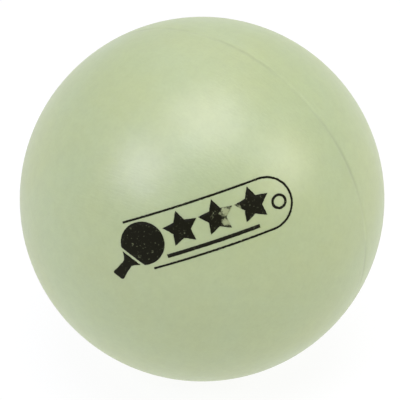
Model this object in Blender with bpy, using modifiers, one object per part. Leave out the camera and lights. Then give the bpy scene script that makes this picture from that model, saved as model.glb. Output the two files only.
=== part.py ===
"""Table tennis ball: two thin half shells that meet in a lap joint, the ring of cement that
seals the joint from inside, and a mark printed in ink. Metres, +Z up, origin at the centre.

The seam lies in the XZ plane. The printed half faces -Y and the plain half faces +Y. Both
halves are turned about one axis, whose latitudes count from the seam (0 degrees) to the
printed half's pole (90 degrees) and to the plain half's pole (-90 degrees).
"""

import math

import bmesh
import bpy
from mathutils import Matrix, Vector

MM = 0.001

# Driving dimensions of the ball
BALL_RADIUS = 20.0 * MM
WALL = 0.38 * MM
FIT_GAP = 0.02 * MM  # clearance that stands for the cement film between two glued faces
EDGE_BREAK = 0.06 * MM  # bevel of both rims, which leaves the fine groove of the seam
COLLAR_WALL = 0.34 * MM  # thickness of the collar under the plain half's rim
COLLAR_LATITUDE = -3.0  # degrees: how far the collar reaches under the plain half
BEAD_LATITUDE = -6.0  # degrees: how far the cement bead creeps along the plain half
JOGGLE_LATITUDE = 6.0  # degrees: where the printed half's inner wall starts to step inward

# Facets of the turned pieces
TURN_STEPS = 60
RING_DEGREES = 6.0
MERGE_DISTANCE = 0.001 * MM
SHARP_ANGLE = math.radians(35)

# Printed mark: a bat at the left end of a long border with a round right end, and inside the
# border three stars, a rule under them and a ring for the ball. Its line climbs across the half.
INK_LIFT = 0.012 * MM
INK_THICKNESS = 0.035 * MM
INK_LATITUDES = (18.0, 84.0)
MARK_AZIMUTH = math.radians(32.5)
MARK_ELEVATION = math.radians(26.3)
MARK_TILT = math.radians(18.5)
MARK_CUT_DEPTH = 4.0 * MM

BAT_CENTRE = (-5.7 * MM, 0.1 * MM)
BAT_ANGLE = math.radians(216)
BLADE_RADIUS = 2.1 * MM
BLADE_CUT = 1.6 * MM  # distance from the blade's centre to its straight edge at the handle
GRIP_START = 1.84 * MM
GRIP_SHOULDER = 2.5 * MM
GRIP_END = 4.2 * MM
GRIP_HALF_WIDTHS = (1.05 * MM, 0.44 * MM, 0.6 * MM)  # at the blade, the neck and the end
STAR_COUNT = 3
STAR_RADIUS = 1.75 * MM
STAR_WAIST = 0.52  # inner corners' radius, as a share of the tips'
STAR_FIRST = (-1.75 * MM, 0.42 * MM)
STAR_PITCH = 3.5 * MM
RULE_HEIGHT = -1.72 * MM
RULE_HALF_WIDTH = 0.18 * MM
RULE_ENDS = (-3.8 * MM, 5.3 * MM)
RING_CENTRE = (7.7 * MM, -0.2 * MM)
RING_RADII = (0.74 * MM, 0.5 * MM)
BORDER_HALF_HEIGHT = 2.5 * MM  # to the middle of the line
BORDER_HALF_WIDTH = 0.1 * MM
BORDER_STARTS = (-6.9 * MM, -5.4 * MM)  # the left ends of the upper and the lower line
BORDER_TURN = 6.45 * MM  # where the round right end begins
ROUND_STEPS = 24

INNER_RADIUS = BALL_RADIUS - WALL
COLLAR_OUTER = INNER_RADIUS - FIT_GAP
COLLAR_INNER = COLLAR_OUTER - COLLAR_WALL


def clear_scene():
    for obj in list(bpy.data.objects):
        bpy.data.objects.remove(obj, do_unlink=True)


def new_collection(name):
    collection = bpy.data.collections.new(name)
    bpy.context.scene.collection.children.link(collection)
    return collection


def new_material(name, color, roughness, metallic=0.0):
    material = bpy.data.materials.new(name)
    material.use_nodes = True
    shader = material.node_tree.nodes["Principled BSDF"]
    shader.inputs["Base Color"].default_value = (*color, 1.0)
    shader.inputs["Roughness"].default_value = roughness
    shader.inputs["Metallic"].default_value = metallic
    material.diffuse_color = (*color, 1.0)
    return material


def at_latitude(radius, latitude):
    """The point (distance from the axis, height) of a circle about the ball's centre."""
    angle = math.radians(latitude)
    return (radius * math.cos(angle), radius * math.sin(angle))


def arc(radius, start, end, ring):
    """Points from one latitude to another, with a ring of facets every so many degrees."""
    steps = round(abs(end - start) / ring)
    return [at_latitude(radius, start + (end - start) * i / steps) for i in range(steps + 1)]


def front_profile():
    """The printed half: outer pole, rim, collar, joggle and back to the inner pole."""
    break_latitude = math.degrees(EDGE_BREAK / BALL_RADIUS)
    outside = arc(BALL_RADIUS, 90.0, JOGGLE_LATITUDE, RING_DEGREES)
    rim = [
        at_latitude(BALL_RADIUS, break_latitude),
        (BALL_RADIUS - EDGE_BREAK, 0.0),
    ]
    collar = [
        at_latitude(COLLAR_OUTER, 0.0),
        at_latitude(COLLAR_OUTER, COLLAR_LATITUDE),
        at_latitude(COLLAR_INNER, COLLAR_LATITUDE),
        at_latitude(COLLAR_INNER, 0.0),
    ]
    middle = (INNER_RADIUS + COLLAR_INNER) / 2
    joggle = [at_latitude(middle, JOGGLE_LATITUDE / 2)]
    inside = arc(INNER_RADIUS, JOGGLE_LATITUDE, 90.0, RING_DEGREES)
    return outside + rim + collar + joggle + inside


def rear_profile():
    """The plain half: inner pole, up the inner wall, over the rim and down to the outer pole."""
    break_latitude = -math.degrees((FIT_GAP + EDGE_BREAK) / BALL_RADIUS)
    inside = arc(INNER_RADIUS, -90.0, BEAD_LATITUDE, RING_DEGREES)
    lap = [
        at_latitude(INNER_RADIUS, COLLAR_LATITUDE),
        (INNER_RADIUS, -FIT_GAP),
    ]
    rim = [
        (BALL_RADIUS - EDGE_BREAK, -FIT_GAP),
        at_latitude(BALL_RADIUS, break_latitude),
    ]
    outside = arc(BALL_RADIUS, BEAD_LATITUDE, -90.0, RING_DEGREES)
    return inside + lap + rim + outside


def bead_profile():
    """The cement bead: a fillet between the collar's end face and the plain half's wall."""
    gap_latitude = math.degrees(FIT_GAP / INNER_RADIUS)
    top = COLLAR_LATITUDE - gap_latitude
    hollow_radius = INNER_RADIUS - 0.3 * COLLAR_WALL
    hollow_latitude = (2 * COLLAR_LATITUDE + BEAD_LATITUDE) / 3
    return [
        at_latitude(COLLAR_OUTER, top),
        at_latitude(COLLAR_OUTER, BEAD_LATITUDE),
        at_latitude(COLLAR_OUTER - 2 * FIT_GAP, BEAD_LATITUDE),
        at_latitude(hollow_radius, hollow_latitude),
        at_latitude(COLLAR_INNER + FIT_GAP, top),
    ]


def ink_profile():
    """A thin band just above the printed half, from which each island of ink is cut."""
    under = BALL_RADIUS + INK_LIFT
    low, high = INK_LATITUDES
    outside = arc(under + INK_THICKNESS, high, low, RING_DEGREES)
    inside = arc(under, low, high, RING_DEGREES)
    return outside + inside


def turned(name, profile, closed, material, collection, axis):
    """A profile turned about the ball's axis. A closed profile is a ring of facets all round."""
    count = len(profile)
    edges = [(i, (i + 1) % count) for i in range(count if closed else count - 1)]
    mesh = bpy.data.meshes.new(name)
    mesh.from_pydata([(x, 0.0, z) for x, z in profile], edges, [])
    mesh.materials.append(material)
    obj = bpy.data.objects.new(name, mesh)
    collection.objects.link(obj)
    obj.parent = axis
    screw = obj.modifiers.new("turn", "SCREW")
    screw.axis = "Z"
    screw.angle = math.tau
    screw.steps = TURN_STEPS
    screw.render_steps = TURN_STEPS
    screw.use_merge_vertices = True
    screw.merge_threshold = MERGE_DISTANCE
    return obj


def settle(obj):
    """Turns the modifiers into mesh, shaded smooth except across sharp edges."""
    bpy.context.view_layer.update()
    graph = bpy.context.evaluated_depsgraph_get()
    mesh = bpy.data.meshes.new_from_object(obj.evaluated_get(graph))
    obj.modifiers.clear()
    obj.data = mesh
    mesh.shade_smooth()
    mesh.set_sharp_from_angle(angle=SHARP_ANGLE)


def circle_outline(centre, radius):
    angles = [math.tau * i / ROUND_STEPS for i in range(ROUND_STEPS)]
    return [(centre[0] + radius * math.cos(a), centre[1] + radius * math.sin(a)) for a in angles]


def star_outline(centre):
    """Five tips, the first one pointing up, with an inner corner between each two."""
    points = []
    for i in range(10):
        radius = STAR_RADIUS * (STAR_WAIST if i % 2 else 1.0)
        angle = math.radians(90 + 36 * i)
        points.append((centre[0] + radius * math.cos(angle), centre[1] + radius * math.sin(angle)))
    return points


def on_bat(points):
    """Moves points given along and across the bat, from its blade's centre, onto the mark."""
    turn = Matrix.Rotation(BAT_ANGLE, 2)
    return [tuple(turn @ Vector(point) + Vector(BAT_CENTRE)) for point in points]


def blade_outline():
    """A disc with one straight edge, which faces the grip."""
    start = math.acos(BLADE_CUT / BLADE_RADIUS)
    sweep = math.tau - 2 * start
    angles = [start + sweep * i / ROUND_STEPS for i in range(ROUND_STEPS + 1)]
    return on_bat([(BLADE_RADIUS * math.cos(a), BLADE_RADIUS * math.sin(a)) for a in angles])


def grip_outline():
    """A wedge that narrows to the neck and flares again towards the grip's end."""
    stations = zip((GRIP_START, GRIP_SHOULDER, GRIP_END), GRIP_HALF_WIDTHS)
    upper = [(along, half) for along, half in stations]
    lower = [(along, -half) for along, half in reversed(upper)]
    return on_bat(lower + upper)


def rule_outline():
    left, right = RULE_ENDS
    low = RULE_HEIGHT - RULE_HALF_WIDTH
    high = RULE_HEIGHT + RULE_HALF_WIDTH
    return [(left, low), (right, low), (right, high), (left, high)]


def border_side(reach):
    """One side of the border's line: from the upper left end, round the right end and back."""
    upper_start, lower_start = BORDER_STARTS
    half = ROUND_STEPS // 2
    angles = [math.pi * (0.5 - i / half) for i in range(half + 1)]
    round_end = [(BORDER_TURN + reach * math.cos(a), reach * math.sin(a)) for a in angles]
    return [(upper_start, reach), *round_end, (lower_start, -reach)]


def border_outline():
    outer = border_side(BORDER_HALF_HEIGHT + BORDER_HALF_WIDTH)
    inner = border_side(BORDER_HALF_HEIGHT - BORDER_HALF_WIDTH)
    return outer + list(reversed(inner))


def mark_placement():
    """The frame of the mark: X along its line, Y up across it, Z out of the ball."""
    sin_a, cos_a = math.sin(MARK_AZIMUTH), math.cos(MARK_AZIMUTH)
    sin_e, cos_e = math.sin(MARK_ELEVATION), math.cos(MARK_ELEVATION)
    level = Vector((cos_a, sin_a, 0.0))
    upward = Vector((-sin_a * sin_e, cos_a * sin_e, cos_e))
    outward = Vector((sin_a * cos_e, -cos_a * cos_e, sin_e))
    frame = Matrix((level, upward, outward)).transposed().to_4x4()
    place = Matrix.Translation(outward * BALL_RADIUS)
    return place @ frame @ Matrix.Rotation(MARK_TILT, 4, "Z")


def outline_cutter(name, outlines, collection):
    """A prism that passes through the ink band. A second outline inside the first is a hole."""
    curve = bpy.data.curves.new(name, "CURVE")
    curve.dimensions = "2D"
    curve.fill_mode = "BOTH"
    curve.extrude = MARK_CUT_DEPTH
    for outline in outlines:
        spline = curve.splines.new("POLY")
        spline.points.add(len(outline) - 1)
        for point, (x, y) in zip(spline.points, outline):
            point.co = (x, y, 0.0, 1.0)
        spline.use_cyclic_u = True
    guide = bpy.data.objects.new(name + "_outline", curve)
    collection.objects.link(guide)
    bpy.context.view_layer.update()
    graph = bpy.context.evaluated_depsgraph_get()
    mesh = bpy.data.meshes.new_from_object(guide.evaluated_get(graph))
    bpy.data.objects.remove(guide, do_unlink=True)
    shape = bmesh.new()
    shape.from_mesh(mesh)
    bmesh.ops.remove_doubles(shape, verts=shape.verts, dist=MERGE_DISTANCE)
    bmesh.ops.recalc_face_normals(shape, faces=shape.faces)
    shape.to_mesh(mesh)
    shape.free()
    cutter = bpy.data.objects.new(name + "_cutter", mesh)
    collection.objects.link(cutter)
    cutter.matrix_world = mark_placement()
    cutter.hide_render = True
    cutter.display_type = "WIRE"
    return cutter


def printed(name, outlines, material, parts, cutters, axis):
    """One island of ink: the part of the ink band that lies inside its outlines."""
    ink = turned(name, ink_profile(), True, material, parts, axis)
    cut = ink.modifiers.new("outline", "BOOLEAN")
    cut.operation = "INTERSECT"
    cut.solver = "EXACT"
    cut.object = outline_cutter(name, outlines, cutters)
    settle(ink)
    return ink


def build_shells(parts, axis):
    printed_plastic = new_material("front_half_plastic", (0.50, 0.58, 0.36), 0.42)
    plain_plastic = new_material("rear_half_plastic", (0.50, 0.58, 0.36), 0.42)
    cement = new_material("cured_cement", (0.60, 0.58, 0.38), 0.25)
    settle(turned("front_half_shell", front_profile(), False, printed_plastic, parts, axis))
    settle(turned("rear_half_shell", rear_profile(), False, plain_plastic, parts, axis))
    settle(turned("seam_weld_bead", bead_profile(), True, cement, parts, axis))


def build_mark(parts, cutters, axis):
    islands = {
        "mark_bat_blade": [blade_outline()],
        "mark_bat_handle": [grip_outline()],
        "mark_ball_ring": [circle_outline(RING_CENTRE, radius) for radius in RING_RADII],
        "mark_rule": [rule_outline()],
        "mark_border": [border_outline()],
    }
    for i in range(STAR_COUNT):
        centre = (STAR_FIRST[0] + i * STAR_PITCH, STAR_FIRST[1])
        islands[f"mark_star_{i + 1}"] = [star_outline(centre)]
    for name, outlines in islands.items():
        ink = new_material(name + "_ink", (0.012, 0.011, 0.010), 0.48)
        printed(name, outlines, ink, parts, cutters, axis)


def main():
    clear_scene()
    parts = new_collection("table_tennis_ball")
    cutters = new_collection("cutters")
    axis = bpy.data.objects.new("ball_axis", None)
    axis.empty_display_size = BALL_RADIUS
    parts.objects.link(axis)
    axis.rotation_euler = (math.radians(90), 0.0, 0.0)
    build_shells(parts, axis)
    build_mark(parts, cutters, axis)


main()
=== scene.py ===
"""Table tennis ball: the looks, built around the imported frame.

The seam lies in the XZ plane. The printed half faces -Y, the plain half faces +Y, and both are
turned about the Y axis. Latitudes count from the seam (0 degrees) to the printed half's pole
(90 degrees) and to the plain half's pole (-90 degrees). Sizes are in metres.
"""

import math

import bmesh
import bpy
from mathutils import Matrix, Vector, noise
from mathutils.geometry import delaunay_2d_cdt


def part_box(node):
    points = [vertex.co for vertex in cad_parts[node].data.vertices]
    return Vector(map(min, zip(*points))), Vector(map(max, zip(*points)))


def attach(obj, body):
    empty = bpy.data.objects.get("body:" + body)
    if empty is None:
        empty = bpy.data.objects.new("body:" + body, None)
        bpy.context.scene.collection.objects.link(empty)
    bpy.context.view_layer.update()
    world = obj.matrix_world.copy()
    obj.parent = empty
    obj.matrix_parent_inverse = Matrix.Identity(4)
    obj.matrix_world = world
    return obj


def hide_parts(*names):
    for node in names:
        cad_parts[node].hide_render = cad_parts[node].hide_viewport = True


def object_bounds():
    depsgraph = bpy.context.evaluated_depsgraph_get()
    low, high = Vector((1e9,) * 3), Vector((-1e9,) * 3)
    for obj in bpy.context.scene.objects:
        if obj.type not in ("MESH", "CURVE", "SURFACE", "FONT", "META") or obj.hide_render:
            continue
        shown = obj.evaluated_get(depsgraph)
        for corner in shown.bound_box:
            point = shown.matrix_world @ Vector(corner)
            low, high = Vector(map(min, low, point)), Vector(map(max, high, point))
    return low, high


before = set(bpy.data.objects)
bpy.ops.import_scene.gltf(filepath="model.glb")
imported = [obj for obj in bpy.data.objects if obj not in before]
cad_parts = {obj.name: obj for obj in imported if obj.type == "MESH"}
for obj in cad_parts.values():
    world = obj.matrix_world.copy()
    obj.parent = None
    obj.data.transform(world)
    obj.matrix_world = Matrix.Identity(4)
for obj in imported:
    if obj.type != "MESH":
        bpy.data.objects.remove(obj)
CAD_LOW, CAD_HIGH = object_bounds()

MM = 0.001

# Places and sizes read from the frame
CENTRE = (CAD_LOW + CAD_HIGH) / 2
RADIUS = (CAD_HIGH.x - CAD_LOW.x) / 2
COLLAR_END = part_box("front_half_shell")[1].y
JOINT_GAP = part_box("rear_half_shell")[0].y
BEAD_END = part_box("seam_weld_bead")[1].y

# The shells' section. Cement fills the joint, so only part of its gap shows as a line.
SEAM_LINE = 0.15 * JOINT_GAP
WALL = 0.38 * MM
COLLAR_WALL = 0.34 * MM
JOGGLE_LATITUDE = 6.0  # degrees: where the printed half's inner wall starts to step inward
INNER_RADIUS = RADIUS - WALL
COLLAR_OUTER = INNER_RADIUS - JOINT_GAP
COLLAR_INNER = COLLAR_OUTER - COLLAR_WALL

# The dip of both rims into the seam, deeper here and shallower there
SHOULDER_REACH = 0.45 * MM  # how far from the seam each rim starts to dip
PRINTED_DIP = 0.014 * MM
PLAIN_DIP = 0.028 * MM
DIP_WANDER = 0.9  # share of the dip that the noise adds or takes away
DIP_CELLS = 7.0  # noise cells in a ball radius
OUTER_SKIN = 0.5 * WALL  # depth down to which a point belongs to a shell's outside

# The cement bead behind the collar, whose free edge wanders
BEAD_CLEARANCE = 0.06  # degrees between the collar's end and the bead
BEAD_EDGE = 0.02 * MM
BEAD_SPARE = 0.01 * MM  # how much thinner the bead is than the collar
BEAD_WANDER = 0.12
BEAD_CELLS = 6.0

# Steps of the turned pieces. The rings are in degrees of latitude.
TURN_STEPS = 192
FINE_RING = 1.5
COARSE_RING = 3.0
COLLAR_RING = 1.0
SHOULDER_STEPS = 8
JOGGLE_STEPS = 6
BEAD_STEPS = 8
MERGE_DISTANCE = 0.001 * MM
SHARP_ANGLE = math.radians(40)

# The printed mark: its film, then the outlines of its islands, along and across its line
INK_LIFT = 0.004 * MM
INK_THICKNESS = 0.014 * MM
INK_GRID = 0.28 * MM
GRID_CLEARANCE = 0.4 * INK_GRID  # between the grid's points and an outline
EDGE_STEP = 0.07 * MM
EDGE_ROUGHNESS = 0.026 * MM
EDGE_WAVE = 0.22 * MM
EDGE_RIPPLE = (2.7, 0.5)  # a second wave: how much finer and how much weaker it is
MARK_AZIMUTH = math.radians(32.5)
MARK_ELEVATION = math.radians(26.3)
MARK_TILT = math.radians(18.5)
BAT_CENTRE = Vector((-5.7, 0.1)) * MM
BAT_ANGLE = math.radians(216)
BLADE_RADIUS = 2.1 * MM
BLADE_CUT = 1.6 * MM
# The grip's (distance along it, half width), in mm
GRIP = ((1.84, 1.05), (2.15, 0.7), (2.5, 0.44), (3.35, 0.49), (4.06, 0.6), (4.2, 0.48))
STAR_COUNT = 3
STAR_RADIUS = 1.75 * MM
STAR_WAIST = 0.52
STAR_FIRST = Vector((-1.75, 0.42)) * MM
STAR_PITCH = 3.5 * MM
RULE_HEIGHT = -1.72 * MM
RULE_HALF_WIDTH = 0.18 * MM
RULE_ENDS = (-3.8 * MM, 5.3 * MM)
RING_CENTRE = Vector((7.7, -0.2)) * MM
RING_RADII = (0.74 * MM, 0.5 * MM)
BORDER_HALF_HEIGHT = 2.5 * MM
BORDER_HALF_WIDTH = 0.1 * MM
BORDER_STARTS = (-6.9 * MM, -5.4 * MM)
BORDER_TURN = 6.45 * MM
WORN_PLACE = (3.1 * MM, 0.4 * MM)  # the middle of the rubbed place
WORN_REACH = 2.3 * MM
ROUND_STEPS = 40

# Plastic. A scale counts noise cells per millimetre, a span is the stretch of the noise over
# which a look changes, and tones multiply the colour.
COOL_PLASTIC = (0.466, 0.554, 0.291)
WARM_PLASTIC = (0.474, 0.550, 0.270)
PLAIN_LIGHTNESS = 1.025
CLOUD_SCALE = 0.12
CLOUD_SPAN = (0.36, 0.64)
GRAIN_SCALE = 3.2
GRAIN_SPAN = (0.30, 0.62)
GRAIN_TONE = 0.965
GRAIN_DEPTH = 0.007 * MM
MOTTLE_SCALE = 0.9
MOTTLE_SPAN = (0.34, 0.66)
MOTTLE_TONE = 0.960
MOTTLE_DEPTH = 0.022 * MM
POLISH_SCALE = 1.0
POLISH_STRETCH = (1.0, 5.0, 5.0)  # the polishing marks run along X
POLISH_DEPTH = 0.014 * MM
SATIN_SPAN = (0.3, 0.7)
SATIN_ROUGHNESS = (0.35, 0.39)
PLASTIC_IOR = 1.7
GLOW_THROUGH = 0.25
GLOW_RADII = (1.0, 1.0, 0.6)
GLOW_REACH = 1.2 * MM

# Painted shade and painted highlight along the seam: a narrow band, darker in most places and
# lighter in some, that paints the light and shade of the seam's groove
SEAM_SHADE_REACH = 0.34 * MM
SEAM_SHADE_SCALE = 0.16
SEAM_SHADE_SHIFT = (-6.0 * MM, 0.0, 0.0)
SEAM_SHADE_SPAN = (0.40, 0.62)
SEAM_SHADE_TONES = (0.86, 1.07)

# Ink, and the plastic that shows through it
INK_BLACK = (0.009, 0.009, 0.003, 1.0)
BARE_PLASTIC = (0.33, 0.37, 0.19, 1.0)
INK_SPECULAR = 0.1
INK_RELIEF = 0.004 * MM
INK_SPAN = (0.3, 0.7)
INK_ROUGHNESS = (0.45, 0.60)
PINHOLE_SCALE = 4.5
PINHOLE_SPAN = (0.63, 0.73)
PINHOLE_SHARE = 0.3  # how bare a pinhole is
RUB_SCALE = 1.5
RUB_SPAN = (0.66, 0.80)
RUB_LIFT = 0.33  # added to the noise in the middle of the rubbed place

# Cured cement
CEMENT_SCALE = 0.5
CEMENT_SPAN = (0.3, 0.7)
CEMENT_COLORS = ((0.50, 0.46, 0.26), (0.64, 0.62, 0.42))
CEMENT_DEPTH = 0.01 * MM
CEMENT_ROUGHNESS = 0.18

# The view: the camera's place is given in ball radii from the centre
CAMERA_AZIMUTH = math.radians(33.0)
CAMERA_ELEVATION = math.radians(33.8)
CAMERA_DISTANCE = 6.0
BALL_SHARE = 0.912  # of the picture's width that the ball fills
SENSOR = 36.0
SHIFT = (-0.0052, -0.0023)
CLIP = (0.1, 400.0)  # in ball radii

# The studio: a glowing table, a room that is bright near the horizon and behind the ball and dim
# on the camera's side, and softboxes, placed by azimuth and elevation in degrees, with their
# width in ball radii, their power in watts and their colour
FLOOR_REACH = 60.0  # from the ball to the table's edge, in ball radii
FLOOR_SHADE = 0.12
FLOOR_ROUGHNESS = 0.9
FLOOR_GLOW = 0.89
HORIZON_GLOW = 0.366
HORIZON_TOP = 0.4  # sine of the elevation where the horizon's glow ends
BACK_GLOW = 0.499
BACK_SPAN = (-0.2, 1.0)  # from full glow to none, as the cosine of the angle to the camera's side
ROOM_COLOR = (0.93, 0.955, 1.0)
LAMP_DISTANCE = 14.0  # in ball radii
COOL = (0.935, 0.90, 1.0)
BLUISH = (0.745, 0.735, 1.0)
WARM = (1.0, 0.97, 0.95)
SOFTBOXES = (
    ("top_softbox", 50, 79, 9.0, 0.390, COOL),
    ("left_softbox", -17, 42, 6.0, 0.299, BLUISH),
    ("right_softbox", 99, 37, 6.0, 0.195, WARM),
    ("back_softbox", 213, 50, 10.0, 0.045, COOL),
)


# ---------------------------------------------------------------- small helpers


def direction(azimuth, elevation):
    """The unit vector towards a place round the ball. Azimuth 0 is -Y and 90 degrees is +X."""
    level = math.cos(elevation)
    return Vector((math.sin(azimuth) * level, -math.cos(azimuth) * level, math.sin(elevation)))


def at_latitude(radius, latitude):
    angle = math.radians(latitude)
    return (radius * math.cos(angle), radius * math.sin(angle))


def arc(radius, start, end, ring):
    steps = max(1, round(abs(end - start) / ring))
    return [at_latitude(radius, start + (end - start) * i / steps) for i in range(steps + 1)]


def latitude_of(height, radius):
    """The latitude of a circle at this distance from the seam plane, along -Y."""
    return math.degrees(math.asin(height / radius))


# ---------------------------------------------------------------- the two half shells


def turned(name, profile, closed):
    """A profile of (distance from the axis, height along -Y), turned about the Y axis."""
    count = len(profile)
    edges = [(i, (i + 1) % count) for i in range(count if closed else count - 1)]
    mesh = bpy.data.meshes.new(name)
    mesh.from_pydata([(x, 0.0, z) for x, z in profile], edges, [])
    obj = bpy.data.objects.new(name, mesh)
    bpy.context.scene.collection.objects.link(obj)
    screw = obj.modifiers.new("turn", "SCREW")
    screw.axis = "Z"
    screw.steps = TURN_STEPS
    screw.render_steps = TURN_STEPS
    screw.use_merge_vertices = True
    screw.merge_threshold = MERGE_DISTANCE
    graph = bpy.context.evaluated_depsgraph_get()
    solid = bpy.data.meshes.new_from_object(obj.evaluated_get(graph))
    obj.modifiers.clear()
    obj.data = solid
    solid.transform(Matrix.Translation(CENTRE) @ Matrix.Rotation(math.radians(90), 4, "X"))
    solid.shade_smooth()
    solid.set_sharp_from_angle(angle=SHARP_ANGLE)
    return obj


def shoulder(start, side, depth):
    """A rim's outer surface from its butting face outward: it dips gently into the seam."""
    points = []
    for i in range(SHOULDER_STEPS):
        share = i / SHOULDER_STEPS
        dip = 0.5 * depth * (1 + math.cos(math.pi * share))
        along = start + side * SHOULDER_REACH * share
        points.append((math.sqrt((RADIUS - dip) ** 2 - along * along), along))
    return points


def uneven(piece):
    """Makes the dip at the seam a little deeper here and shallower there, as a weld leaves it."""
    for vertex in piece.data.vertices:
        arm = vertex.co - CENTRE
        dip = RADIUS - arm.length
        if abs(arm.y) < SHOULDER_REACH and dip < OUTER_SKIN:
            factor = 1 + DIP_WANDER * noise.noise(arm.normalized() * DIP_CELLS)
            vertex.co = CENTRE + arm.normalized() * (RADIUS - dip * factor)
    return piece


def printed_half():
    collar_latitude = -latitude_of(COLLAR_END, COLLAR_OUTER)
    outside = arc(RADIUS, 90.0, FINE_RING, FINE_RING)
    rim = list(reversed(shoulder(0.0, 1.0, PRINTED_DIP)))
    collar = [
        (COLLAR_OUTER, 0.0),
        *arc(COLLAR_OUTER, collar_latitude / 3, collar_latitude, COLLAR_RING),
        *arc(COLLAR_INNER, collar_latitude, 0.0, COLLAR_RING),
    ]
    joggle = []
    for i in range(1, JOGGLE_STEPS):
        share = i / JOGGLE_STEPS
        rise = share * share * (3 - 2 * share)
        radius = COLLAR_INNER + (INNER_RADIUS - COLLAR_INNER) * rise
        joggle.append(at_latitude(radius, JOGGLE_LATITUDE * share))
    inside = arc(INNER_RADIUS, JOGGLE_LATITUDE, 90.0, COARSE_RING)
    return uneven(turned("printed_half", outside + rim + collar + joggle + inside, False))


def plain_half():
    inside = arc(INNER_RADIUS, -90.0, -COARSE_RING, COARSE_RING)
    face = [(INNER_RADIUS, -SEAM_LINE)]
    rim = shoulder(-SEAM_LINE, -1.0, PLAIN_DIP)
    outside = arc(RADIUS, -FINE_RING, -90.0, FINE_RING)
    return uneven(turned("plain_half", inside + face + rim + outside, False))


def cement_fillet():
    """The bead of cured cement: a hollow fillet whose free edge wanders as it was laid."""
    start = -latitude_of(COLLAR_END, COLLAR_OUTER) - BEAD_CLEARANCE
    end = -latitude_of(BEAD_END, COLLAR_OUTER)
    wall = arc(COLLAR_OUTER, start, end, (start - end) / BEAD_STEPS)
    free = []
    for i in range(BEAD_STEPS):
        share = i / BEAD_STEPS
        depth = max(COLLAR_WALL * (1 - share) ** 2, BEAD_EDGE) - BEAD_SPARE
        free.append(at_latitude(COLLAR_OUTER - depth, start + (end - start) * share))
    bead = turned("cement_fillet", wall + list(reversed(free)), True)
    for vertex in bead.data.vertices:
        flat = Vector((vertex.co.x, 0.0, vertex.co.z))
        along = vertex.co.y - COLLAR_END
        vertex.co.y += BEAD_WANDER * noise.noise(flat.normalized() * BEAD_CELLS) * along
    return bead


# ---------------------------------------------------------------- the printed mark


def mark_frame():
    """The frame of the mark at the ball's centre: X along its line, Y across it, Z outward."""
    outward = direction(MARK_AZIMUTH, MARK_ELEVATION)
    level = Vector((math.cos(MARK_AZIMUTH), math.sin(MARK_AZIMUTH), 0.0))
    axes = Matrix((level, outward.cross(level), outward)).transposed().to_4x4()
    return Matrix.Translation(CENTRE) @ axes @ Matrix.Rotation(MARK_TILT, 4, "Z")


def circle(centre, radius):
    angles = [math.tau * i / ROUND_STEPS for i in range(ROUND_STEPS)]
    return [centre + Vector((math.cos(a), math.sin(a))) * radius for a in angles]


def star(centre):
    """Five tips, the first one pointing up, with an inner corner between each two."""
    points = []
    for i in range(10):
        reach = STAR_RADIUS * (STAR_WAIST if i % 2 else 1.0)
        angle = math.radians(90 + 36 * i)
        points.append(centre + Vector((math.cos(angle), math.sin(angle))) * reach)
    return points


def on_bat(points):
    turn = Matrix.Rotation(BAT_ANGLE, 2)
    return [turn @ Vector(p) + BAT_CENTRE for p in points]


def blade():
    start = math.acos(BLADE_CUT / BLADE_RADIUS)
    sweep = math.tau - 2 * start
    angles = [start + sweep * i / ROUND_STEPS for i in range(ROUND_STEPS + 1)]
    return on_bat([(BLADE_RADIUS * math.cos(a), BLADE_RADIUS * math.sin(a)) for a in angles])


def grip():
    upper = [(along * MM, half * MM) for along, half in GRIP]
    lower = [(along, -half) for along, half in reversed(upper)]
    return on_bat(lower + upper)


def rule():
    left, right = RULE_ENDS
    low = RULE_HEIGHT - RULE_HALF_WIDTH
    high = RULE_HEIGHT + RULE_HALF_WIDTH
    return [Vector(p) for p in ((left, low), (right, low), (right, high), (left, high))]


def border_side(reach):
    """One side of the border's line: from the upper left end, round the right end and back."""
    half = ROUND_STEPS // 2
    turn = Vector((BORDER_TURN, 0.0))
    angles = [math.pi * (0.5 - i / half) for i in range(half + 1)]
    round_end = [turn + Vector((math.cos(a), math.sin(a))) * reach for a in angles]
    return [Vector((BORDER_STARTS[0], reach)), *round_end, Vector((BORDER_STARTS[1], -reach))]


def border():
    outer = border_side(BORDER_HALF_HEIGHT + BORDER_HALF_WIDTH)
    inner = border_side(BORDER_HALF_HEIGHT - BORDER_HALF_WIDTH)
    return outer + list(reversed(inner))


def ragged(outline, seed):
    """The outline cut into short steps, each pushed in or out a little as ink edges are."""
    finer, weaker = EDGE_RIPPLE
    points = []
    for a, b in zip(outline, outline[1:] + outline[:1]):
        steps = max(1, round((b - a).length / EDGE_STEP))
        across = Vector((b.y - a.y, a.x - b.x)).normalized()
        for k in range(steps):
            p = a.lerp(b, k / steps)
            where = Vector((p.x / EDGE_WAVE, p.y / EDGE_WAVE, seed))
            push = noise.noise(where) + weaker * noise.noise(where * finer)
            points.append(p + across * push * EDGE_ROUGHNESS)
    return points


def inside(point, outline):
    """Whether a point lies in a closed outline, by counting the edges to its right."""
    found = False
    for a, b in zip(outline, outline[1:] + outline[:1]):
        if (a.y > point.y) != (b.y > point.y):
            if point.x < a.x + (point.y - a.y) / (b.y - a.y) * (b.x - a.x):
                found = not found
    return found


def on_ink(point, loops):
    """Whether a point lies in the first outline and not in the hole that a second one leaves."""
    return inside(point, loops[0]) and not any(inside(point, hole) for hole in loops[1:])


def filling(loops):
    """Points inside the outlines, on a staggered grid that keeps clear of the edges."""
    corners = [p for loop in loops for p in loop]
    low = Vector((min(p.x for p in corners), min(p.y for p in corners)))
    high = Vector((max(p.x for p in corners), max(p.y for p in corners)))
    points = []
    for row in range(int((high.y - low.y) / INK_GRID) + 1):
        for column in range(int((high.x - low.x) / INK_GRID) + 1):
            step = Vector((column + 0.5 * (row % 2), row + 0.5))
            p = low + step * INK_GRID
            if on_ink(p, loops) and all((p - q).length > GRID_CLEARANCE for q in corners):
                points.append(p)
    return points


def closed_chain(start, count):
    return [(start + i, start + (i + 1) % count) for i in range(count)]


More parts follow.
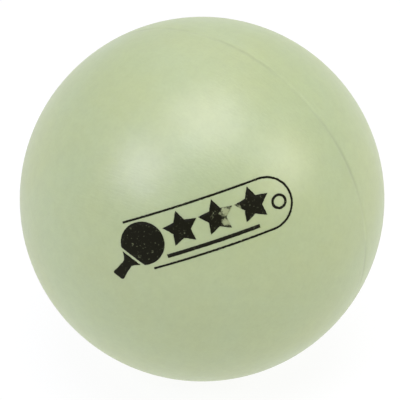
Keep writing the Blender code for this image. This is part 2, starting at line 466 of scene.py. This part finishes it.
def ink_island(name, outlines, seed):
    """A film of ink with these outlines, triangulated finely and laid on the sphere."""
    loops = [ragged(outline, seed) for outline in outlines]
    edges = []
    for i, loop in enumerate(loops):
        edges += closed_chain(sum(len(other) for other in loops[:i]), len(loop))
    flat = [p for loop in loops for p in loop] + filling(loops)
    points, _, faces, *_ = delaunay_2d_cdt(flat, edges, [], 1, 1e-9)
    middles = [sum((points[i] for i in face), Vector((0, 0))) / 3 for face in faces]
    faces = [face for face, middle in zip(faces, middles) if on_ink(middle, loops)]
    place = mark_frame()
    top = RADIUS + INK_LIFT + INK_THICKNESS
    mesh = bpy.data.meshes.new(name)
    shape = bmesh.new()
    corners = []
    for p in points:
        height = math.sqrt(top * top - p.x * p.x - p.y * p.y)
        corners.append(shape.verts.new(place @ Vector((p.x, p.y, height))))
    for face in faces:
        shape.faces.new([corners[i] for i in face])
    loose = [corner for corner in shape.verts if not corner.link_faces]
    bmesh.ops.delete(shape, geom=loose, context="VERTS")
    shape.normal_update()
    for face in shape.faces:
        if face.normal.dot(face.calc_center_median() - CENTRE) < 0:
            face.normal_flip()
    shape.to_mesh(mesh)
    shape.free()
    obj = bpy.data.objects.new(name, mesh)
    bpy.context.scene.collection.objects.link(obj)
    film = obj.modifiers.new("film", "SOLIDIFY")
    film.thickness = INK_THICKNESS
    film.offset = -1.0
    mesh.shade_smooth()
    return obj


# ---------------------------------------------------------------- materials


def nodes_of(name):
    material = bpy.data.materials.new(name)
    material.use_nodes = True
    tree = material.node_tree
    return material, tree, tree.nodes["Principled BSDF"]


def add(tree, kind, **settings):
    node = tree.nodes.new(kind)
    for key, value in settings.items():
        setattr(node, key, value)
    return node


def noise_at(tree, scale, detail=2.0, roughness=0.5, stretch=(1.0, 1.0, 1.0), shift=(0.0, 0.0, 0.0)):
    """A noise fixed to the object, whose scale counts cells per millimetre."""
    where = add(tree, "ShaderNodeTexCoord")
    mapping = add(tree, "ShaderNodeMapping")
    mapping.inputs["Scale"].default_value = stretch
    mapping.inputs["Location"].default_value = shift
    texture = add(tree, "ShaderNodeTexNoise")
    texture.inputs["Scale"].default_value = scale / MM
    texture.inputs["Detail"].default_value = detail
    texture.inputs["Roughness"].default_value = roughness
    tree.links.new(where.outputs["Object"], mapping.inputs["Vector"])
    tree.links.new(mapping.outputs["Vector"], texture.inputs["Vector"])
    return texture.outputs["Fac"]


def bump(tree, height, depth, under=None):
    """The normals of a relief of this depth, laid over another one if it is given."""
    node = add(tree, "ShaderNodeBump")
    node.inputs["Distance"].default_value = depth
    tree.links.new(height, node.inputs["Height"])
    if under:
        tree.links.new(under, node.inputs["Normal"])
    return node.outputs["Normal"]


def ramp(tree, source, span, colors):
    """A colour that turns from the first to the second while the source crosses the span."""
    node = add(tree, "ShaderNodeValToRGB")
    for element, position, color in zip(node.color_ramp.elements, span, colors):
        element.position = position
        element.color = (*color, 1.0)
    tree.links.new(source, node.inputs["Fac"])
    return node.outputs["Color"]


def grey_ramp(tree, source, span, values):
    return ramp(tree, source, span, [grey(value) for value in values])


def mapped(tree, source, span, results, kind="SMOOTHSTEP"):
    """A value that goes from the first result to the second while the source crosses the span."""
    node = add(tree, "ShaderNodeMapRange", interpolation_type=kind)
    node.inputs["From Min"].default_value, node.inputs["From Max"].default_value = span
    node.inputs["To Min"].default_value, node.inputs["To Max"].default_value = results
    tree.links.new(source, node.inputs["Value"])
    return node


def mixed(tree, kind, first, second):
    """Two colours laid over each other at full strength."""
    node = add(tree, "ShaderNodeMixRGB", blend_type=kind)
    node.inputs["Fac"].default_value = 1.0
    tree.links.new(first, node.inputs["Color1"])
    tree.links.new(second, node.inputs["Color2"])
    return node.outputs["Color"]


def total(tree, first, second):
    node = add(tree, "ShaderNodeMath", operation="ADD")
    tree.links.new(first, node.inputs[0])
    tree.links.new(second, node.inputs[1])
    return node.outputs["Value"]


def grey(value):
    return (value, value, value)


def painted_seam_shade(tree):
    """Painted shade and painted highlight of the seam's groove: a narrow band along the seam, mostly
    darker than the plastic and here and there lighter.
    """
    where = add(tree, "ShaderNodeTexCoord")
    parts = add(tree, "ShaderNodeSeparateXYZ")
    away = add(tree, "ShaderNodeMath", operation="ABSOLUTE")
    tree.links.new(where.outputs["Object"], parts.inputs["Vector"])
    tree.links.new(parts.outputs["Y"], away.inputs[0])
    patch = noise_at(tree, SEAM_SHADE_SCALE, detail=3.0, shift=SEAM_SHADE_SHIFT)
    tone = mapped(tree, patch, SEAM_SHADE_SPAN, SEAM_SHADE_TONES, "LINEAR")
    band = mapped(tree, away.outputs["Value"], (0.0, SEAM_SHADE_REACH), (0.0, 1.0))
    tree.links.new(tone.outputs["Result"], band.inputs["To Min"])
    return band.outputs["Result"]


def plastic(name, lightness=1.0):
    """Moulded plastic: satin, faintly clouded and mottled by its pigment, finely polished."""
    material, tree, shader = nodes_of(name)
    cloud = noise_at(tree, CLOUD_SCALE, detail=3.0)
    grain = noise_at(tree, GRAIN_SCALE, detail=3.0, roughness=0.6)
    mottle = noise_at(tree, MOTTLE_SCALE, detail=3.0)
    polish = noise_at(tree, POLISH_SCALE, detail=3.0, stretch=POLISH_STRETCH)
    color = ramp(tree, cloud, CLOUD_SPAN, (COOL_PLASTIC, WARM_PLASTIC))
    speck = grey_ramp(tree, grain, GRAIN_SPAN, (GRAIN_TONE * lightness, lightness))
    patch = grey_ramp(tree, mottle, MOTTLE_SPAN, (MOTTLE_TONE, 1.0))
    # the last layer paints shade and highlight along the seam into the colour
    for layer in (speck, patch, painted_seam_shade(tree)):
        color = mixed(tree, "MULTIPLY", color, layer)
    tree.links.new(color, shader.inputs["Base Color"])
    rough = grey_ramp(tree, cloud, SATIN_SPAN, SATIN_ROUGHNESS)
    tree.links.new(rough, shader.inputs["Roughness"])
    relief = bump(tree, grain, GRAIN_DEPTH)
    relief = bump(tree, polish, POLISH_DEPTH, under=relief)
    relief = bump(tree, mottle, MOTTLE_DEPTH, under=relief)
    tree.links.new(relief, shader.inputs["Normal"])
    shader.inputs["IOR"].default_value = PLASTIC_IOR
    shader.inputs["Subsurface Weight"].default_value = GLOW_THROUGH
    shader.inputs["Subsurface Radius"].default_value = GLOW_RADII
    shader.inputs["Subsurface Scale"].default_value = GLOW_REACH
    return material


def ink(name):
    """Black pad-printed ink with pinholes, and one rubbed place where plastic shows through."""
    material, tree, shader = nodes_of(name)
    fine = noise_at(tree, PINHOLE_SCALE, roughness=0.6)
    rub = noise_at(tree, RUB_SCALE, detail=4.0, roughness=0.65)
    where = add(tree, "ShaderNodeTexCoord")
    reach = add(tree, "ShaderNodeVectorMath", operation="DISTANCE")
    reach.inputs[1].default_value = mark_frame() @ Vector((*WORN_PLACE, RADIUS))
    tree.links.new(where.outputs["Object"], reach.inputs[0])
    fade = mapped(tree, reach.outputs["Value"], (0.0, WORN_REACH), (RUB_LIFT, 0.0))
    worn = total(tree, rub, fade.outputs["Result"])
    holes = grey_ramp(tree, fine, PINHOLE_SPAN, (0.0, PINHOLE_SHARE))
    rubbed = grey_ramp(tree, worn, RUB_SPAN, (0.0, 1.0))
    color = add(tree, "ShaderNodeMixRGB", blend_type="MIX")
    color.inputs["Color1"].default_value = INK_BLACK
    color.inputs["Color2"].default_value = BARE_PLASTIC
    tree.links.new(mixed(tree, "LIGHTEN", holes, rubbed), color.inputs["Fac"])
    tree.links.new(color.outputs["Color"], shader.inputs["Base Color"])
    rough = grey_ramp(tree, fine, INK_SPAN, INK_ROUGHNESS)
    tree.links.new(rough, shader.inputs["Roughness"])
    tree.links.new(bump(tree, fine, INK_RELIEF), shader.inputs["Normal"])
    shader.inputs["Specular IOR Level"].default_value = INK_SPECULAR
    return material


def cement(name):
    """Cured cement: clear amber, glossy, uneven where it ran."""
    material, tree, shader = nodes_of(name)
    run = noise_at(tree, CEMENT_SCALE)
    tree.links.new(ramp(tree, run, CEMENT_SPAN, CEMENT_COLORS), shader.inputs["Base Color"])
    tree.links.new(bump(tree, run, CEMENT_DEPTH), shader.inputs["Normal"])
    shader.inputs["Roughness"].default_value = CEMENT_ROUGHNESS
    return material


# ---------------------------------------------------------------- the object


def place(piece, node, slot, material):
    piece.data.materials.clear()
    piece.data.materials.append(material)
    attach(piece, "root")
    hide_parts(node)


def build_shells():
    front = plastic("printed_half_plastic")
    rear = plastic("plain_half_plastic", PLAIN_LIGHTNESS)
    place(printed_half(), "front_half_shell", "front_half_plastic", front)
    place(plain_half(), "rear_half_shell", "rear_half_plastic", rear)
    place(cement_fillet(), "seam_weld_bead", "cured_cement", cement("cured_cement_look"))


def build_mark():
    black = ink("printing_ink_look")
    islands = {
        "mark_bat_blade": [blade()],
        "mark_bat_handle": [grip()],
        "mark_ball_ring": [circle(RING_CENTRE, radius) for radius in RING_RADII],
        "mark_rule": [rule()],
        "mark_border": [border()],
    }
    for i in range(STAR_COUNT):
        centre = STAR_FIRST + Vector((i * STAR_PITCH, 0.0))
        islands[f"mark_star_{i + 1}"] = [star(centre)]
    for seed, (node, outlines) in enumerate(islands.items()):
        place(ink_island(node + "_print", outlines, float(seed)), node, "printing_ink", black)


# ---------------------------------------------------------------- the stage


def floor():
    """A wide pale table under the ball."""
    mesh = bpy.data.meshes.new("floor")
    shape = bmesh.new()
    bmesh.ops.create_grid(shape, x_segments=2, y_segments=2, size=FLOOR_REACH * RADIUS)
    shape.to_mesh(mesh)
    shape.free()
    obj = bpy.data.objects.new("floor", mesh)
    bpy.context.scene.collection.objects.link(obj)
    obj.location = (CENTRE.x, CENTRE.y, CAD_LOW.z)
    material, _, shader = nodes_of("pale_table")
    shader.inputs["Base Color"].default_value = (*grey(FLOOR_SHADE), 1.0)
    shader.inputs["Roughness"].default_value = FLOOR_ROUGHNESS
    shader.inputs["Emission Color"].default_value = (1.0, 1.0, 1.0, 1.0)
    shader.inputs["Emission Strength"].default_value = FLOOR_GLOW
    mesh.materials.append(material)


def softbox(name, azimuth, elevation, size, power, color):
    """A square area light that faces the ball."""
    data = bpy.data.lights.new(name, "AREA")
    data.shape = "SQUARE"
    data.size = size * RADIUS
    data.energy = power
    data.color = color
    lamp = bpy.data.objects.new(name, data)
    bpy.context.scene.collection.objects.link(lamp)
    toward = direction(math.radians(azimuth), math.radians(elevation))
    lamp.location = CENTRE + toward * LAMP_DISTANCE * RADIUS
    lamp.rotation_mode = "QUATERNION"
    lamp.rotation_quaternion = toward.to_track_quat("Z", "Y")


def light():
    """A room whose glow depends on the direction alone, and the softboxes."""
    world = bpy.data.worlds.new("studio")
    bpy.context.scene.world = world
    world.use_nodes = True
    tree = world.node_tree
    background = tree.nodes["Background"]
    background.inputs["Color"].default_value = (*ROOM_COLOR, 1.0)
    where = add(tree, "ShaderNodeTexCoord")
    height = add(tree, "ShaderNodeSeparateXYZ")
    side = add(tree, "ShaderNodeVectorMath", operation="DOT_PRODUCT")
    side.inputs[1].default_value = direction(CAMERA_AZIMUTH, 0.0)
    tree.links.new(where.outputs["Generated"], height.inputs["Vector"])
    tree.links.new(where.outputs["Generated"], side.inputs[0])
    horizon = mapped(tree, height.outputs["Z"], (0.0, HORIZON_TOP), (HORIZON_GLOW, 0.0))
    back = mapped(tree, side.outputs["Value"], BACK_SPAN, (BACK_GLOW, 0.0))
    glow = total(tree, horizon.outputs["Result"], back.outputs["Result"])
    tree.links.new(glow, background.inputs["Strength"])
    for settings in SOFTBOXES:
        softbox(*settings)
    bpy.context.scene.view_settings.view_transform = "Standard"


def camera():
    data = bpy.data.cameras.new("camera")
    data.sensor_width = SENSOR
    edge = math.tan(math.asin(1.0 / CAMERA_DISTANCE))
    data.lens = SENSOR * BALL_SHARE / (2 * edge)
    data.shift_x, data.shift_y = SHIFT
    data.clip_start, data.clip_end = [reach * RADIUS for reach in CLIP]
    obj = bpy.data.objects.new("camera", data)
    bpy.context.scene.collection.objects.link(obj)
    back = direction(CAMERA_AZIMUTH, CAMERA_ELEVATION)
    obj.location = CENTRE + back * CAMERA_DISTANCE * RADIUS
    obj.rotation_mode = "QUATERNION"
    obj.rotation_quaternion = (-back).to_track_quat("-Z", "Y")
    bpy.context.scene.camera = obj


build_shells()
build_mark()
floor()
light()
camera()
